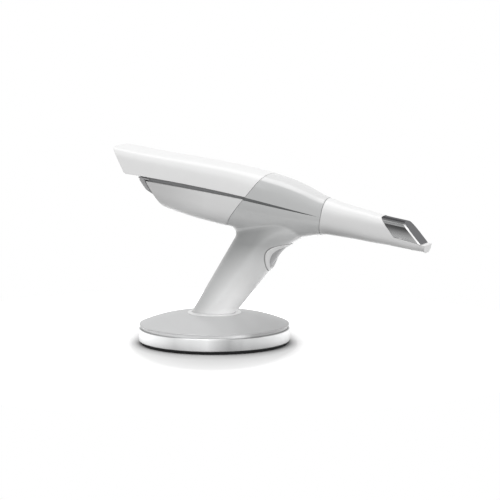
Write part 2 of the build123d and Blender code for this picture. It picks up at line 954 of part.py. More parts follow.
def fan_frame():
    half = sink_width / 2
    low = fan_bottom()
    frame = block((fan_station - half, fan_station + half), (-half, half),
                  (low, low + fan_height))
    frame = fillet(frame.edges().filter_by(Axis.Z), board_corner)
    frame = frame - up_rod(fan_bore, low, low + fan_height, fan_station)
    floor = low + fan_floor
    frame = frame + up_rod(rotor_hub, low, floor, fan_station)
    for number in range(fan_arms):
        arm = Box(2 * fan_bore + part_gap, fan_arm, fan_floor)
        frame = frame + arm.moved(Location((fan_station, 0, low + fan_floor / 2),
                                           (0, 0, 180 * number / fan_arms)))
    return frame + up_rod(fan_pin_radius, low, floor + rotor_height, fan_station)


def fan_rotor():
    low = fan_bottom() + fan_floor + rotor_gap
    high = low + rotor_height
    rotor = up_rod(rotor_hub, low, high)
    middle = (rotor_hub + rotor_radius) / 2
    length = rotor_radius - rotor_hub
    for number in range(rotor_blades):
        blade = Box(length + rotor_blade, rotor_blade, rotor_height * rotor_blade_share)
        blade = blade.moved(Location((middle - rotor_blade / 2, 0, (low + high) / 2),
                                     (rotor_lean, 0, 0)))
        rotor = rotor + blade.moved(Location((0, 0, 0),
                                             (0, 0, 360 * number / rotor_blades)))
    rotor = rotor & up_rod(rotor_radius, low, high)
    rotor = rotor - up_rod(fan_pin_radius + fit_gap, low, high)
    return rotor.moved(Location((fan_station, 0, 0)))


# Optics on their bench in the nose half

def bench_front():
    return body_front - flange_length - fit_gap


def bench_top():
    return axis_height - bench_drop + bench_thickness


def optics_bench():
    high = bench_top()
    low = high - bench_thickness
    front = bench_front()
    bench = block((front - bench_length, front), (-bench_width / 2, bench_width / 2),
                  (low, high))
    window = block((front - block_front, front - bench_window_front),
                   (-bench_window_width / 2, bench_window_width / 2), (low, high))
    bench = bench - window
    bench = fillet(bench.edges().filter_by(Axis.Z), board_corner)
    for along, side in bench_spots():
        bench = bench - up_rod(bench_screw_radius + fit_gap, low, high, along, side)
    return bench & body_form(housing_wall + fit_gap)


def bench_screws():
    top = bench_top()
    screws = []
    for along, side in bench_spots():
        shank = up_rod(bench_screw_radius, top - bench_screw_length, top, along, side)
        head = up_rod(bench_screw_head, top, top + bench_screw_head_height, along, side)
        screws.append(shank + head)
    return screws


def barrel_levels():
    """The levels of the projector's and the camera's axes."""
    return axis_height - barrel_spread / 2, axis_height + barrel_spread / 2


def optics_block():
    front = bench_front() - block_front
    high = axis_height + barrel_spread / 2 + barrel_radius + block_wall
    mount = block((front - block_length, front), (-block_width / 2, block_width / 2),
                  (bench_top(), high))
    mount = fillet(mount.edges().filter_by(Axis.X).group_by(Axis.Z)[-1], block_round)
    for level in barrel_levels():
        mount = mount - along_rod(barrel_radius + fit_gap, front - block_length, front,
                                  level)
    return mount


def barrel_ends():
    front = bench_front() - barrel_setback
    return front - barrel_length, front


def lens_barrel(level):
    rear, front = barrel_ends()
    barrel = along_rod(barrel_radius, rear, front, level)
    collar = along_rod(barrel_radius + barrel_collar, front - barrel_collar_length, front,
                       level)
    barrel = barrel + collar - along_rod(barrel_radius - barrel_wall, rear, front, level)
    seat = lens_thickness
    return barrel - along_rod(barrel_radius - fit_gap, front - seat, front, level)


def lens(level):
    """A plano-convex glass lens in the front of its barrel."""
    rear, front = barrel_ends()
    radius = barrel_radius - 2 * fit_gap
    disc = lathe([(0, 0), (radius, 0), (radius, lens_thickness * lens_edge_share),
                  (0, lens_thickness * lens_edge_share)])
    dome = Sphere(lens_curve).moved(Location((0, 0, lens_thickness - lens_curve)))
    body = up_rod(radius, 0, lens_thickness) & dome
    return (disc + body).moved(
        Location((front - lens_thickness, 0, level), (0, 90, 0)))


def lamp_unit():
    rear, front = barrel_ends()
    high = axis_height - fit_gap
    lamp = block((rear - lamp_length, rear), (-lamp_width / 2, lamp_width / 2),
                 (bench_top(), high))
    return fillet(lamp.edges().filter_by(Axis.X).group_by(Axis.Z)[-1], block_round)


def lamp_heat_sink():
    rear, front = barrel_ends()
    start = rear - lamp_length
    low = bench_top()
    high = axis_height - fit_gap
    sink = block((start - lamp_base, start), (-lamp_width / 2, lamp_width / 2), (low, high))
    pitch = lamp_width / lamp_fins
    for number in range(lamp_fins):
        middle = -lamp_width / 2 + pitch * (number + 0.5)
        fin = pitch * sink_fin_share / 2
        sink = sink + block((start - lamp_base - lamp_fin_length, start),
                            (middle - fin, middle + fin), (low, high))
    return sink


def sensor_board():
    rear, front = barrel_ends()
    level = barrel_levels()[1]
    chip_front = rear - fit_gap
    chip_rear = chip_front - sensor_chip_height
    chip = block((chip_rear, chip_front), (-sensor_chip / 2, sensor_chip / 2),
                 (level - sensor_chip / 2, level + sensor_chip / 2))
    board = block((chip_rear - sensor_board_thickness, chip_rear),
                  (-sensor_board_width / 2, sensor_board_width / 2),
                  (axis_height + fit_gap, level + sensor_board_width / 2 - sensor_chip / 2))
    return board + chip


# Nose and the tip that slides over it

def nose_tube():
    start = body_front - seam_gap
    straight = start + nose_length * nose_straight_share
    end = start + nose_length
    flange = body_form(housing_wall + fit_gap)
    flange = flange & block((body_front - flange_length, start),
                            (-body_width, body_width), (-overrun, body_height))
    pipe = along_rod(nose_radius, body_front - flange_length / 2, straight, axis_height)
    taper = Cone(nose_radius, nose_end_radius, end - straight)
    taper = taper.moved(Location(((straight + end) / 2, 0, axis_height), (0, 90, 0)))
    nose = flange + pipe + taper
    nose = nose - along_rod(nose_bore, body_front - flange_length, end, axis_height)
    nose = nose - along_rod(nose_end_radius - window_seat, end - window_thickness, end,
                            axis_height)
    ring = along_rod(nose_radius, seal_start(), seal_start() + seal_width, axis_height)
    ring = ring - along_rod(nose_radius - seal_depth, seal_start(),
                            seal_start() + seal_width, axis_height)
    return nose - ring


def seal_start():
    return body_front + tip_collar_length / 2


def nose_seal():
    start, end = seal_start() + fit_gap, seal_start() + seal_width - fit_gap
    ring = along_rod(nose_radius + seal_stand, start, end, axis_height)
    return ring - along_rod(nose_radius - seal_depth + fit_gap / 2, start, end, axis_height)


def front_window():
    end = body_front - seam_gap + nose_length
    return along_rod(nose_end_radius - window_seat - fit_gap, end - window_thickness, end,
                     axis_height)


def tray_top():
    return tip_root_top - tip_root_height * (1 - tip_bottom_rise_shares[-1]) + tray_height


def tip_cut(shift):
    """The slanted line in side view where the metal cap meets the plastic sleeve."""
    top_station = tip_end - cap_rear + shift
    foot_station = tip_end - cap_foot + shift
    high = tip_root_top - cap_shoulder
    low = tray_top() + cap_foot_rise + shift
    return top_station, foot_station, high, low


def tip_scoop(rise):
    """The shallow scoop under the tip, between its rear step and the front lip."""
    rear = tip_end - scoop_rear
    front = tip_end - scoop_front
    level = tip_root_top - tip_root_height * (1 - tip_bottom_rise_shares[-1]) + rise
    return side_polygon([
        (rear, -overrun), (rear, level), (front - scoop_run, level + scoop_rise),
        (front, level - scoop_depth), (front, -overrun)])


def tip_sleeve():
    top_station, foot_station, high, low = tip_cut(0.0)
    above = tip_root_top + tip_wall
    outline = side_polygon([
        (body_front, -overrun), (body_front, above), (top_station, above),
        (top_station, high), (foot_station, low), (tip_end, tray_top()),
        (tip_end, -overrun)])
    sleeve = tip_form(0.0) & outline
    hollow = tip_form(tip_wall) & block(
        (body_front + tip_collar_length, tip_end - tip_front_wall),
        (-body_width, body_width), (-overrun, body_height))
    sleeve = sleeve - tip_scoop(0) - (hollow - tip_scoop(tip_wall))
    sleeve = sleeve - along_rod(nose_radius + tip_bore_gap, body_front,
                                body_front + tip_collar_length + fit_gap, axis_height)
    window = block((tip_end - light_window_front - light_window_length,
                    tip_end - light_window_front),
                   (-light_window_width / 2, light_window_width / 2),
                   (0, tray_top() - cap_foot_rise))
    return sleeve - window


def cap_face(level, sink=0.0):
    """Where the cap's sloping end face stands at a level."""
    return tip_end - tip_front_wall - sink - cap_slope_share * (level - tray_top())


def mirror_cap():
    top_station, foot_station, high, low = tip_cut(cap_gap)
    floor = tray_top() + cap_gap
    above = tip_root_top + tip_wall
    outline = side_polygon([
        (top_station, above), (top_station, high), (foot_station, low),
        (cap_face(floor), floor), (cap_face(above), above)])
    cap = tip_form(cap_inset) & outline
    sink = cap_wall * math.hypot(1, cap_slope_share)
    hollow = side_polygon([
        (top_station - overrun, above), (top_station - overrun, 0),
        (cap_face(0, sink), 0), (cap_face(above, sink), above)])
    return cap - (tip_form(cap_inset + cap_wall) & hollow)


def tip_mirror():
    start = (cap_wall + mirror_gap) * math.hypot(1, cap_slope_share)
    end = start + mirror_thickness * math.hypot(1, cap_slope_share)
    low = tray_top() + mirror_lift
    high = tip_root_top - cap_shoulder
    plate = side_polygon([
        (cap_face(low, start), low), (cap_face(low, end), low),
        (cap_face(high, end), high), (cap_face(high, start), high)], mirror_width / 2)
    return plate & tip_form(cap_inset + cap_wall + mirror_gap)


def build():
    """Writes every piece of the scanner and its holder."""
    os.makedirs("parts", exist_ok=True)
    for piece in (rubber_foot, rim_band, base_plate, ballast_weight, neck_ring, dome_cover,
                  collar_ring, handle_socket, socket_pad, grip_housing, handle_foot,
                  button_bezel, scan_button, button_board, tact_switch):
        save(piece.__name__, piece())
    save("base_screws", *base_screws())
    for piece in (upper_shell, lower_shell, inner_chassis, battery_case, battery_terminal,
                  main_board, heat_sink, fan_frame, fan_rotor, optics_bench, optics_block,
                  lamp_unit, lamp_heat_sink, sensor_board, nose_tube, nose_seal,
                  front_window, tip_sleeve, mirror_cap, tip_mirror):
        save(piece.__name__, tilted(piece()))
    for group in (battery_cells, board_screws, bench_screws):
        save(group.__name__, *[tilted(solid) for solid in group()])
    low, high = barrel_levels()
    for name, level in (("projector", low), ("camera", high)):
        save(name + "_barrel", tilted(lens_barrel(level)))
        save(name + "_lens", tilted(lens(level)))


build()
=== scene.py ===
import math
import bpy
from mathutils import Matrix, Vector


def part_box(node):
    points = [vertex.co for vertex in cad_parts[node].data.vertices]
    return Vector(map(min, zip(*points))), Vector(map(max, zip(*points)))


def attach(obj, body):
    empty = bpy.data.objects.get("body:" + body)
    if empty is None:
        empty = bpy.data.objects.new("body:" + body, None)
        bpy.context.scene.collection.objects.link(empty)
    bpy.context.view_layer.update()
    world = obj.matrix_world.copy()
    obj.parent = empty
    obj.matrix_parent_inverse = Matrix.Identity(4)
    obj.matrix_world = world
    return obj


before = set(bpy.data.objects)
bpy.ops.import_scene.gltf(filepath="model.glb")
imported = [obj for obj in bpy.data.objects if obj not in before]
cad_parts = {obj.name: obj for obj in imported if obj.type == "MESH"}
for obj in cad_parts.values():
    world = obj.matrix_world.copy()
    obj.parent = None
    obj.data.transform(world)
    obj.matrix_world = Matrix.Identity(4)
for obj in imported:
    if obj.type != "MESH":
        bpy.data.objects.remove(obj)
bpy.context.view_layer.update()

# Camera: a long lens, a little above the table, turned towards the tip side of the
# scanner so that its near side and a sliver of its front are seen.
camera_turn = math.radians(22.0)
camera_rise = math.radians(7.2)
camera_distance = 1.772
camera_lens = 156.9
camera_target = Vector((0.0316, 0.0, 0.078))
camera_back = Vector((math.sin(camera_turn) * math.cos(camera_rise),
                      -math.cos(camera_turn) * math.cos(camera_rise),
                      math.sin(camera_rise)))
camera_data = bpy.data.cameras.new("camera")
camera_data.lens = camera_lens
camera_data.sensor_width = 36.0
camera_data.clip_end = 20.0
camera = bpy.data.objects.new("camera", camera_data)
camera.location = camera_target + camera_back * camera_distance
camera.rotation_euler = (-camera_back).to_track_quat("-Z", "Y").to_euler()
bpy.context.scene.collection.objects.link(camera)
bpy.context.scene.camera = camera
bpy.context.scene.view_settings.view_transform = "Standard"

# Studio: a small pale table in a plain white surround, lit by soft lamps overhead, at
# the left and low at the right. The table's glow hides all but the shadow round the
# object, which is partly real and partly painted shadow darkened into the table's colour.
surround_light = 0.72
table_sides = 96
table_bounce = 0.25
# Each ring: its half-width across, its half-depth, and the table's level at the sides and at
# the front. Levels under one are painted shadow round the holder's foot; higher levels fade
# into the white glow.
painted_shadow_rings = ((0.0, 0.0, 0.3, 0.3), (0.0615, 0.061, 0.39, 0.48),
               (0.0645, 0.07, 0.63, 0.6), (0.068, 0.085, 0.88, 0.71),
               (0.0715, 0.103, 0.94, 0.77), (0.0755, 0.12, 0.97, 0.84),
               (0.081, 0.136, 1.01, 0.92), (0.088, 0.152, 1.07, 1.0),
               (0.097, 0.172, 1.14, 1.1), (0.3, 0.3, 1.4, 1.4))
white_from = 0.86
white_to = 1.3


def bright_when_seen(tree, low, high):
    """A value that is high for rays that see a surface, and low for its light."""
    path = tree.nodes.new("ShaderNodeLightPath")
    seen = path.outputs["Is Camera Ray"]
    for kind in ("Is Glossy Ray", "Is Transmission Ray"):
        either = tree.nodes.new("ShaderNodeMath")
        either.operation = "MAXIMUM"
        tree.links.new(seen, either.inputs[0])
        tree.links.new(path.outputs[kind], either.inputs[1])
        seen = either.outputs[0]
    spread = tree.nodes.new("ShaderNodeMapRange")
    spread.inputs["To Min"].default_value = low
    spread.inputs["To Max"].default_value = high
    tree.links.new(seen, spread.inputs["Value"])
    return spread.outputs["Result"]


world = bpy.data.worlds.new("surround")
bpy.context.scene.world = world
world.use_nodes = True
sky = world.node_tree.nodes["Background"]
sky.inputs["Color"].default_value = (1.0, 1.0, 1.0, 1.0)
world.node_tree.links.new(bright_when_seen(world.node_tree, surround_light, 1.0),
                          sky.inputs["Strength"])

table_mesh = bpy.data.meshes.new("table")
table_points = []
painted_shadow_levels = []
for wide, deep, side_shade, front_shade in painted_shadow_rings:
    for number in range(table_sides):
        angle = math.tau * number / table_sides
        across, back = wide * math.cos(angle), deep * math.sin(angle)
        table_x = across * math.cos(camera_turn) - back * math.sin(camera_turn)
        table_y = across * math.sin(camera_turn) + back * math.cos(camera_turn)
        table_points.append((table_x, table_y, 0.0))
        frontness = math.sin(angle) ** 2
        painted_shadow_levels.append(side_shade * (1 - frontness) + front_shade * frontness)
table_faces = []
for ring in range(len(painted_shadow_rings) - 1):
    for number in range(table_sides):
        here = ring * table_sides + number
        beside = ring * table_sides + (number + 1) % table_sides
        table_faces.append((here, here + table_sides, beside + table_sides, beside))
table_mesh.from_pydata(table_points, [], table_faces)
# The shade attribute carries the painted shadow round the holder and the fade into white glow.
table_mesh.attributes.new("shade", "FLOAT", "POINT").data.foreach_set("value", painted_shadow_levels)
table = bpy.data.objects.new("table", table_mesh)
bpy.context.scene.collection.objects.link(table)
table_top = bpy.data.materials.new("table_top")
table_top.use_nodes = True
tree = table_top.node_tree
tree.nodes.remove(tree.nodes["Principled BSDF"])
matt = tree.nodes.new("ShaderNodeBsdfDiffuse")
shade = tree.nodes.new("ShaderNodeAttribute")
shade.attribute_name = "shade"
seen = bright_when_seen(tree, 0.0, 1.0)
toned = tree.nodes.new("ShaderNodeMapRange")
toned.inputs["To Min"].default_value = table_bounce
tree.links.new(seen, toned.inputs["Value"])
tree.links.new(shade.outputs["Fac"], toned.inputs["To Max"])
tree.links.new(toned.outputs["Result"], matt.inputs["Color"])
whiter = tree.nodes.new("ShaderNodeMapRange")
whiter.inputs["From Min"].default_value = white_from
whiter.inputs["From Max"].default_value = white_to
tree.links.new(shade.outputs["Fac"], whiter.inputs["Value"])
glow_seen = tree.nodes.new("ShaderNodeMath")
glow_seen.operation = "MULTIPLY"
tree.links.new(whiter.outputs["Result"], glow_seen.inputs[0])
tree.links.new(seen, glow_seen.inputs[1])
glow = tree.nodes.new("ShaderNodeEmission")
tree.links.new(glow_seen.outputs[0], glow.inputs["Strength"])
both = tree.nodes.new("ShaderNodeAddShader")
tree.links.new(matt.outputs[0], both.inputs[0])
tree.links.new(glow.outputs[0], both.inputs[1])
tree.links.new(both.outputs[0], tree.nodes["Material Output"].inputs["Surface"])
table_mesh.materials.append(table_top)

lamps_aim = Vector((0, 0, 0.08))
for name, place, size, power in (("overhead_lamp", (-0.1, 0.0, 1.5), 1.2, 7.5),
                                 ("side_lamp", (-0.7, -1.6, 0.8), 0.9, 4.0),
                                 ("low_lamp", (1.2, -0.6, 0.12), 0.5, 4.5)):
    lamp_data = bpy.data.lights.new(name, "AREA")
    lamp_data.size = size
    lamp_data.energy = power
    lamp = bpy.data.objects.new(name, lamp_data)
    lamp.location = place
    lamp.rotation_euler = (Vector(place) - lamps_aim).to_track_quat("Z", "Y").to_euler()
    bpy.context.scene.collection.objects.link(lamp)

# Rubber foot: a black moulded disc glued under the holder, matt with a fine pebbled
# skin. It is the only piece that touches the table.


def mixed(tree, factor, first, second):
    """A colour between two others, each a colour or an output socket."""
    mix = tree.nodes.new("ShaderNodeMix")
    mix.data_type = "RGBA"
    for socket, value in ((mix.inputs["Factor"], factor), (mix.inputs[6], first),
                          (mix.inputs[7], second)):
        if isinstance(value, bpy.types.NodeSocket):
            tree.links.new(value, socket)
        else:
            socket.default_value = value
    return mix.outputs[2]


def along_axis(tree, axis, low, high, first=0.0, last=1.0):
    """How far a place lies from one length to another along an axis, within bounds."""
    place = tree.nodes.new("ShaderNodeTexCoord")
    product = tree.nodes.new("ShaderNodeVectorMath")
    product.operation = "DOT_PRODUCT"
    product.inputs[1].default_value = axis
    tree.links.new(place.outputs["Object"], product.inputs[0])
    spread = tree.nodes.new("ShaderNodeMapRange")
    spread.inputs["From Min"].default_value = low
    spread.inputs["From Max"].default_value = high
    spread.inputs["To Min"].default_value = first
    spread.inputs["To Max"].default_value = last
    tree.links.new(product.outputs["Value"], spread.inputs["Value"])
    return spread.outputs["Result"]


def finish(name, colour, roughness, metal=0.0, grain=0.0004, depth=0.00001, mottle=0.02,
           coat=0.0, edge=0.0):
    """A surface with a fine grain, a faint mottle and, where asked, softened edges."""
    made = bpy.data.materials.new(name)
    made.use_nodes = True
    tree = made.node_tree
    shader = tree.nodes["Principled BSDF"]
    shader.inputs["Metallic"].default_value = metal
    shader.inputs["Coat Weight"].default_value = coat
    shader.inputs["Coat Roughness"].default_value = 0.1
    place = tree.nodes.new("ShaderNodeTexCoord")
    mottling = tree.nodes.new("ShaderNodeTexNoise")
    mottling.inputs["Scale"].default_value = 90.0
    mottling.inputs["Detail"].default_value = 4.0
    tree.links.new(place.outputs["Object"], mottling.inputs["Vector"])
    tree.links.new(mixed(tree, mottling.outputs["Fac"],
                         (*[part * (1 - mottle) for part in colour], 1.0),
                         (*[min(part * (1 + mottle), 1.0) for part in colour], 1.0)),
                   shader.inputs["Base Color"])
    wear = tree.nodes.new("ShaderNodeMapRange")
    wear.inputs["To Min"].default_value = max(roughness - 0.04, 0.02)
    wear.inputs["To Max"].default_value = roughness + 0.04
    tree.links.new(mottling.outputs["Fac"], wear.inputs["Value"])
    tree.links.new(wear.outputs["Result"], shader.inputs["Roughness"])
    grains = tree.nodes.new("ShaderNodeTexNoise")
    grains.inputs["Scale"].default_value = 1.0 / grain
    grains.inputs["Detail"].default_value = 2.0
    tree.links.new(place.outputs["Object"], grains.inputs["Vector"])
    relief = tree.nodes.new("ShaderNodeBump")
    relief.inputs["Distance"].default_value = depth
    relief.inputs["Strength"].default_value = 0.5
    tree.links.new(grains.outputs["Fac"], relief.inputs["Height"])
    if edge:
        soft = tree.nodes.new("ShaderNodeBevel")
        soft.inputs["Radius"].default_value = edge
        tree.links.new(soft.outputs["Normal"], relief.inputs["Normal"])
    tree.links.new(relief.outputs["Normal"], shader.inputs["Normal"])
    return made


def dress(node, material):
    """Gives a piece of the frame its finish."""
    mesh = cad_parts[node].data
    mesh.materials.clear()
    mesh.materials.append(material)


def tint(material, factor, colour):
    """Lays a colour over a finish, as far as the factor of its node tree says."""
    tree = material.node_tree
    base = tree.nodes["Principled BSDF"].inputs["Base Color"]
    under = base.links[0].from_socket
    over = colour(tree) if callable(colour) else colour
    tree.links.new(mixed(tree, factor(tree), under, over), base)


dress("rubber_foot", finish("black_rubber", (0.004, 0.004, 0.0045), 0.85, mottle=0.2))

# Rim band: a turned aluminium ring pressed round the holder, satin, with upright streaks
# of painted reflection set in its colour and a bright thin edge above and below.
band = finish("band_metal", (0.47, 0.47, 0.47), 0.32, metal=1.0, edge=0.0004)


def shades_by(tree, level, stops):
    """Greys that follow a level from 0 to 1, each stop a place and a grey."""
    ramp = tree.nodes.new("ShaderNodeValToRGB")
    ramp.color_ramp.elements.remove(ramp.color_ramp.elements[1])
    for number, (place, grey_there) in enumerate(stops):
        if number:
            ramp.color_ramp.elements.new(place)
        element = ramp.color_ramp.elements[number]
        element.position = place
        element.color = (grey_there, grey_there * 1.005, grey_there * 1.01, 1.0)
    tree.links.new(level, ramp.inputs["Fac"])
    return ramp.outputs["Color"]


holder_radius = 0.062
# The way across the holder along which painted light and shade are laid on the band, the neck
# ring and the cover.
painted_light_way = (0.927, 0.375, 0.0)


def across_holder(tree):
    """Runs from 0 to 1 from the left of the holder to its right."""
    return along_axis(tree, painted_light_way, -holder_radius, holder_radius)


def everywhere(tree):
    """One at every place."""
    return along_axis(tree, (0.0, 0.0, 0.0), -1.0, 0.0)


# Painted reflections: light and dark upright streaks in the band's colour, from the holder's
# left to its right.
tint(band, everywhere, lambda tree: shades_by(tree, across_holder(tree), (
    (0.0, 0.75), (0.12, 0.6), (0.25, 0.5), (0.46, 0.8), (0.6, 0.36), (0.68, 0.29), (0.8, 0.45),
    (1.0, 0.6))))
dress("rim_band", band)

# Base plate: a flat steel disc that closes the holder from below, held by six
# countersunk steel screws into the cover's posts.
screw = finish("screw_steel", (0.55, 0.55, 0.56), 0.3, metal=1.0, edge=0.0002)
dress("base_plate", finish("plate_steel", (0.5, 0.5, 0.52), 0.35, metal=1.0))
dress("base_screws", screw)

# Ballast: a cast iron ring that rests on the base plate and keeps the holder steady
# under the scanner's weight.
dress("ballast_weight", finish("ballast_iron", (0.16, 0.16, 0.17), 0.6, metal=1.0,
                               grain=0.0012, depth=0.00006, mottle=0.15))

# Neck ring: a narrow turned ring that stands on the band under the cover's edge, greyer
# than the band, with painted light and shade across it: lighter in the middle, darker at both
# sides.
neck = finish("neck_metal", (0.3, 0.3, 0.3), 0.35, metal=1.0)
# Painted light and shade across the neck ring, from the holder's left to its right.
tint(neck, everywhere, lambda tree: shades_by(tree, across_holder(tree), (
    (0.0, 0.28), (0.4, 0.52), (0.55, 0.54), (0.75, 0.25), (1.0, 0.24))))
dress("neck_ring", neck)

# Dome cover: a shallow pressed cover in satin silver paint that snaps onto the neck
# ring, with a painted highlight along its lower edge and painted shade darkening it towards
# the right.
painted_highlight_rise = 0.0011
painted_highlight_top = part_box("dome_cover")[0][2] + painted_highlight_rise
cover = finish("silver_cover", (0.54, 0.545, 0.545), 0.38, metal=0.25, edge=0.0005)
# Painted shade: the cover's colour darkens from the holder's left to its right.
tint(cover, everywhere, lambda tree: shades_by(tree, across_holder(tree), (
    (0.0, 0.56), (0.45, 0.6), (0.6, 0.57), (0.8, 0.45), (1.0, 0.4))))
# Painted highlight: a thin light band along the cover's lower edge.
tint(cover, lambda tree: along_axis(tree, (0.0, 0.0, 1.0), painted_highlight_top + 0.0003, painted_highlight_top),
     (0.8, 0.8, 0.8, 1.0))
dress("dome_cover", cover)

# Handle socket: the dark plastic cup inside the holder that takes the handle's foot,
# with a soft rubber pad in its floor.
dark = finish("dark_plastic", (0.05, 0.052, 0.055), 0.5, mottle=0.05)
dress("handle_socket", dark)
dress("socket_pad", bpy.data.materials["black_rubber"])

# Collar ring: a thin white plastic ring let into the top of the cover, round the place
# where the handle goes in.
white = finish("white_shell", (0.86, 0.86, 0.86), 0.3, edge=0.0006)
dress("collar_ring", white)

# Grip housing: one hollow grey moulding that is both the handle and the nose half of the
# body, satin, with painted shade in the tapering groove on both sides, and more painted
# light and shade over its skin.
up_body = (0.173648, 0.0, 0.984808)
along_body = (0.984808, 0.0, -0.173648)
body_lift = 0.0983
upright = (0.0, 0.0, 1.0)
across_handle = (1.0, 0.0, -0.608)
grey = finish("grey_grip", (0.5, 0.505, 0.505), 0.36, coat=0.6, edge=0.0004)


def times(tree, first, second):
    """The product of two shares."""
    product = tree.nodes.new("ShaderNodeMath")
    product.operation = "MULTIPLY"
    tree.links.new(first, product.inputs[0])
    tree.links.new(second, product.inputs[1])
    return product.outputs[0]


def painted_shade_under_body(tree):
    """One on the handle close under the body, where painted shade stands for the body's
    shadow, fading out below.
    """
    below = along_axis(tree, (-0.2, 0.0, 1.0), 0.0925, 0.0865)
    behind = along_axis(tree, across_handle, 0.012, -0.012)
    fading = along_axis(tree, upright, 0.045, 0.085)
    return times(tree, times(tree, below, behind), fading)


def painted_shade_rear(tree):
    """One at the rear of the handle under the body, for deeper painted shade, fading to its
    front and up.
    """
    across = along_axis(tree, across_handle, -0.004, -0.034)
    return times(tree, across, painted_shade_under_body(tree))


def low_handle_painted_light_and_shade(tree):
    """Rises from nought at the button's height to one at the foot of the handle, where painted
    shade darkens it and its front gets painted light.
    """
    return along_axis(tree, upright, 0.084, 0.042)


def painted_light_front(tree):
    """The lower handle's front half, lightened with painted light that stands for the pale
    table's glow on it.
    """
    across = along_axis(tree, across_handle, -0.034, -0.003)
    return times(tree, across, low_handle_painted_light_and_shade(tree))


def facing(tree, direction, low, high, edge):
    """How far a surface with softened edges faces a direction, from 0 to 1."""
    soft = tree.nodes.new("ShaderNodeBevel")
    soft.inputs["Radius"].default_value = edge
    product = tree.nodes.new("ShaderNodeVectorMath")
    product.operation = "DOT_PRODUCT"
    product.inputs[1].default_value = direction
    tree.links.new(soft.outputs["Normal"], product.inputs[0])
    spread = tree.nodes.new("ShaderNodeMapRange")
    spread.inputs["From Min"].default_value = low
    spread.inputs["From Max"].default_value = high
    tree.links.new(product.outputs["Value"], spread.inputs["Value"])
    return spread.outputs["Result"]


def painted_top_light(tree):
    """One on the skin that looks up, beyond the crease along the nose's shoulder, where
    painted light lightens it.
    """
    return facing(tree, upright, 0.5, 0.64, 0.0004)


def painted_shade_under_groove(tree):
    """One on the skin below the groove, where painted shade darkens it, nought above it."""
    return along_axis(tree, up_body, body_lift + 0.027, body_lift + 0.018)


def painted_belly_light(tree):
    """One on the nose's underside, lightened with painted light for the pale table's glow,
    nought on its flank.
    """
    return along_axis(tree, up_body, body_lift + 0.017, body_lift + 0.007)


def painted_bezel_gap_shade(tree):
    """One in the narrow gap round the button's bezel, darkened there as painted shade."""
    long_way = along_axis(tree, (0.6613, 0.0, 0.7501), 0.064, 0.124, -2.0, 2.0)
    wide_way = along_axis(tree, (0.0, 1.0, 0.0), -0.026, 0.026, -2.0, 2.0)
    total = tree.nodes.new("ShaderNodeMath")
    total.operation = "ADD"
    tree.links.new(times(tree, long_way, long_way), total.inputs[0])
    tree.links.new(times(tree, wide_way, wide_way), total.inputs[1])
    inside = tree.nodes.new("ShaderNodeMapRange")
    inside.inputs["From Min"].default_value = 1.1
    inside.inputs["From Max"].default_value = 1.05
    tree.links.new(total.outputs[0], inside.inputs["Value"])
    front = along_axis(tree, (0.7501, 0.0, -0.6613), -0.018, -0.017)
    return times(tree, inside.outputs["Result"], front)


def bent(tree, place, start, middle, end):
    """A value that runs from start over middle to end, along a place from -1 to 1."""
    curve = (start + end) / 2 - middle
    slope = (end - start) / 2
    value = place
    for factor, extra in ((curve, slope), (None, middle)):
        step = tree.nodes.new("ShaderNodeMath")
        step.operation = "MULTIPLY_ADD"
        tree.links.new(value, step.inputs[0])
        if factor is None:
            tree.links.new(place, step.inputs[1])
        else:
            step.inputs[1].default_value = factor
        step.inputs[2].default_value = extra
        value = step.outputs[0]
    return value


def painted_groove_shade(tree):
    """One in the groove's floor and walls, darkened there as painted shade, nought on the skin
    above and below it.
    """
    place = along_axis(tree, along_body, -0.0333, 0.074, -1.0, 1.0)
    level = along_axis(tree, up_body, body_lift, body_lift + 1.0)
    off = tree.nodes.new("ShaderNodeMath")
    off.operation = "SUBTRACT"
    tree.links.new(level, off.inputs[0])
    tree.links.new(bent(tree, place, 0.0279, 0.0274, 0.02575), off.inputs[1])
    away = tree.nodes.new("ShaderNodeMath")
    away.operation = "ABSOLUTE"
    tree.links.new(off.outputs[0], away.inputs[0])
    inside = tree.nodes.new("ShaderNodeMath")
    inside.operation = "LESS_THAN"
    tree.links.new(away.outputs[0], inside.inputs[0])
    tree.links.new(bent(tree, place, 0.00133, 0.0012, 0.00003), inside.inputs[1])
    return inside.outputs[0]


# Painted light: the upward-facing top of the nose is lightened.
tint(grey, painted_top_light, (0.66, 0.66, 0.66, 1.0))
# Painted shade: the skin below the groove is darkened.
tint(grey, painted_shade_under_groove, (0.44, 0.445, 0.445, 1.0))
# Painted light: the nose's underside is lightened.
tint(grey, painted_belly_light, (0.56, 0.565, 0.565, 1.0))
# Painted shade: the handle is darkened close under the body.
tint(grey, painted_shade_under_body, (0.3, 0.305, 0.305, 1.0))
# Painted shade: the rear of the handle under the body is darkened further.
tint(grey, painted_shade_rear, (0.27, 0.275, 0.275, 1.0))
# Painted shade: the lower handle is darkened.
tint(grey, low_handle_painted_light_and_shade, (0.44, 0.445, 0.445, 1.0))
# Painted light: the lower handle's front half is lightened.
tint(grey, painted_light_front, (0.97, 0.97, 0.97, 1.0))
# Painted shade: the gap round the bezel is darkened.
tint(grey, painted_bezel_gap_shade, (0.12, 0.12, 0.12, 1.0))
# Painted shade: the groove is darkened along its length.
tint(grey, painted_groove_shade, (0.09, 0.095, 0.095, 1.0))
dress("grip_housing", grey)

# Handle foot: a dark plastic plug that closes the handle's lower end and stands in the
# socket.
dress("handle_foot", dark)

# Button bezel: a white oval ring set flush into the front of the handle, with a skirt
# that guides the button and carries its board.
dress("button_bezel", finish("white_bezel", (0.76, 0.76, 0.76), 0.3, edge=0.0005))
board = finish("circuit_board", (0.03, 0.16, 0.07), 0.35, coat=0.4)
dress("button_board", board)
dress("tact_switch", dark)

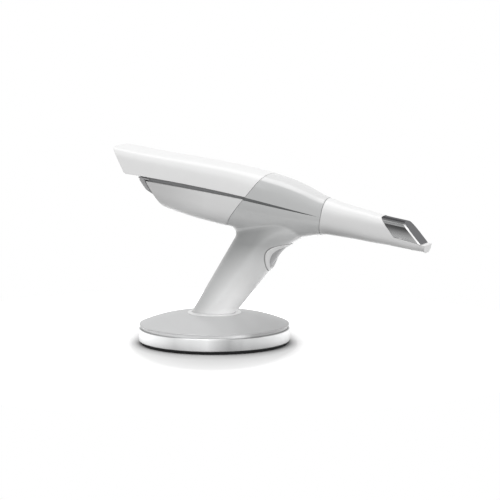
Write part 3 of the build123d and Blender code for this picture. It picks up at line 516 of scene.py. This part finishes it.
# Scan button: a grey oval cap sunk in the bezel that bears on the switch behind it.
dress("scan_button", finish("button_grey", (0.38, 0.38, 0.385), 0.4, edge=0.0003))

# Inner chassis: the dark moulded frame inside the body that carries the boards and the
# battery bay, seen through the long gap between the two white shells.
dress("inner_chassis", finish("chassis_grey", (0.19, 0.192, 0.195), 0.5))

# Battery: a grey plastic case with two round-cornered cells in it, which slides into the
# rear of the body until its brass contacts meet. A thin lip on its end fills the gap
# under the upper shell, with a prong on each side of the chassis.
battery_grey = finish("battery_grey", (0.36, 0.36, 0.365), 0.38, edge=0.0004)
dress("battery_case", battery_grey)
lip_half = 0.0196
lip_low = 0.0247
lip_high = 0.0259
lip_round = 0.0004
slant_foot = -0.0764
slant_level = 0.0267
slant = -0.76


def on_slant(level, behind):
    """A place behind the lower shell's slanting rear edge, at a level of the body."""
    along = slant_foot + slant * (level - slant_level) - behind
    up = level + body_lift
    return (along * along_body[0] + up * up_body[0], along * along_body[2] + up * up_body[2])


lip_front = -0.0018
lip_prong = -0.0035
lip_rear = 0.0061
prong_inner = 0.0188
lip_points = []
for level, drawn_in in ((lip_low, 0.0), (lip_high - lip_round, 0.0), (lip_high, lip_round)):
    prong, front, rear = lip_prong + drawn_in, lip_front + drawn_in, lip_rear - drawn_in
    half, inner = lip_half - drawn_in, prong_inner + drawn_in / 2
    for behind, side in ((prong, -half), (rear, -half), (rear, half), (prong, half),
                         (prong, inner), (front, inner), (front, -inner), (prong, -inner)):
        x, z = on_slant(level, behind)
        lip_points.append((x, side, z))
lip_corners = 8
lip_faces = [tuple(range(3 * lip_corners - 1, 2 * lip_corners - 1, -1)),
             tuple(range(lip_corners))]
for row in range(2):
    for corner in range(lip_corners):
        here = row * lip_corners + corner
        beside = row * lip_corners + (corner + 1) % lip_corners
        lip_faces.append((here, here + lip_corners, beside + lip_corners, beside))
lip_mesh = bpy.data.meshes.new("battery_lip")
lip_mesh.from_pydata(lip_points, [], lip_faces)
lip = bpy.data.objects.new("battery_lip", lip_mesh)
bpy.context.scene.collection.objects.link(lip)
lip_mesh.materials.append(battery_grey)
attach(lip, "battery")
dress("battery_cells", finish("cell_wrap", (0.05, 0.1, 0.3), 0.3))
dress("battery_terminal", finish("contact_brass", (0.7, 0.5, 0.2), 0.3, metal=1.0))

# Electronics: green boards screwed to the chassis, a finned aluminium sink on the main
# chip, and a small dark fan on top of it.
sink = finish("sink_aluminium", (0.7, 0.7, 0.71), 0.35, metal=1.0)
dress("main_board", board)
dress("board_screws", screw)
dress("heat_sink", sink)
dress("fan_frame", dark)
dress("fan_rotor", dark)

# Lower shell: the white belly cover behind the seam, moulded plastic that clips onto the
# chassis, its white darkened as painted shade, darkest towards the rear.
painted_shade_belly = finish("white_belly", (0.57, 0.57, 0.57), 0.3, edge=0.0006)
# Painted shade: the belly is darker at its rear and lighter further forward.
tint(painted_shade_belly, lambda tree: along_axis(tree, along_body, -0.06, -0.02), (0.72, 0.72, 0.72, 1.0))
dress("lower_shell", painted_shade_belly)

# Upper shell: the long white top cover with its slanting rear wall, moulded plastic in
# the same soft gloss.
dress("upper_shell", finish("white_cover", (0.81, 0.81, 0.81), 0.3, edge=0.0006))

# Optics: an aluminium bench screwed to rails in the nose, with a milled block, a
# projector and a camera in black barrels, a lamp with its sink and the sensor board.
barrel = finish("barrel_black", (0.02, 0.02, 0.02), 0.4, metal=0.3)
glass = finish("lens_glass", (0.6, 0.66, 0.7), 0.05, coat=1.0)
for node in ("optics_bench", "optics_block", "lamp_heat_sink"):
    dress(node, sink)
for node in ("projector_barrel", "camera_barrel"):
    dress(node, barrel)
for node in ("projector_lens", "camera_lens"):
    dress(node, glass)
dress("bench_screws", screw)
dress("lamp_unit", dark)
dress("sensor_board", board)

# Nose tube: a dark tube that closes the front of the body and carries the tip, with a
# rubber seal round it and a glass window in its end.
dress("nose_tube", dark)
dress("nose_seal", bpy.data.materials["black_rubber"])
dress("front_window", glass)

# Tip sleeve: a slender white plastic sleeve that slides over the nose tube, with a light
# window in its underside, and painted shade darkening the surfaces that face down.
tip = finish("white_tip", (0.8, 0.8, 0.8), 0.3, edge=0.0005)
# Painted shade: the tip's downward-facing surfaces are darkened.
tint(tip, lambda tree: facing(tree, (0.0, 0.0, -1.0), -0.35, 0.5, 0.0005),
     (0.55, 0.55, 0.55, 1.0))
dress("tip_sleeve", tip)

# Mirror cap: a bent cap of dark polished steel over the tip's end, with a glass mirror
# glued inside it. Its colour holds painted reflections in bands along its sides, a painted
# highlight along its front edge and a flat darker grey on its end face.
cap = finish("cap_metal", (0.3, 0.3, 0.3), 0.24, metal=1.0, depth=0.000001, mottle=0.01)
painted_reflection_bands = ((0.0, 0.3), (0.2, 0.34), (0.4, 0.22), (0.58, 0.07), (0.68, 0.035), (0.73, 0.26),
             (0.82, 0.24), (0.86, 0.05), (0.92, 0.09), (1.0, 0.05))


def painted_reflections_on_steel(tree):
    """The light and dark bands of painted reflection that run along the cap's sides, by their
    level.
    """
    return shades_by(tree, along_axis(tree, up_body, body_lift + 0.0214, body_lift + 0.0367),
                     painted_reflection_bands)


end_face = (0.7637, 0.0, 0.6452)
tree = cap.node_tree
shader = tree.nodes["Principled BSDF"]
shader.inputs["Specular Tint"].default_value = (0.45, 0.45, 0.46, 1.0)
cap_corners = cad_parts["mirror_cap"].data.vertices
end_level = max(corner.co.dot(Vector(end_face)) for corner in cap_corners)
# Painted highlight: a bright line along the cap's front edge on its sides, below the upper
# band.
painted_highlight_by_end = along_axis(tree, end_face, end_level - 0.0015, end_level - 0.0011)
painted_highlight_below_band = along_axis(tree, up_body, body_lift + 0.0344, body_lift + 0.0334)
bands_and_painted_highlight = mixed(tree, times(tree, painted_highlight_by_end, painted_highlight_below_band), painted_reflections_on_steel(tree), (0.9, 0.9, 0.9, 1.0))
# Painted shade: the end face gets a flat darker grey in place of the painted bands.
tree.links.new(mixed(tree, facing(tree, end_face, 0.75, 0.85, 0.0004), bands_and_painted_highlight,
                     (0.24, 0.242, 0.246, 1.0)), shader.inputs["Base Color"])
dress("mirror_cap", cap)
dress("tip_mirror", finish("mirror_glass", (0.9, 0.9, 0.92), 0.05, metal=1.0))
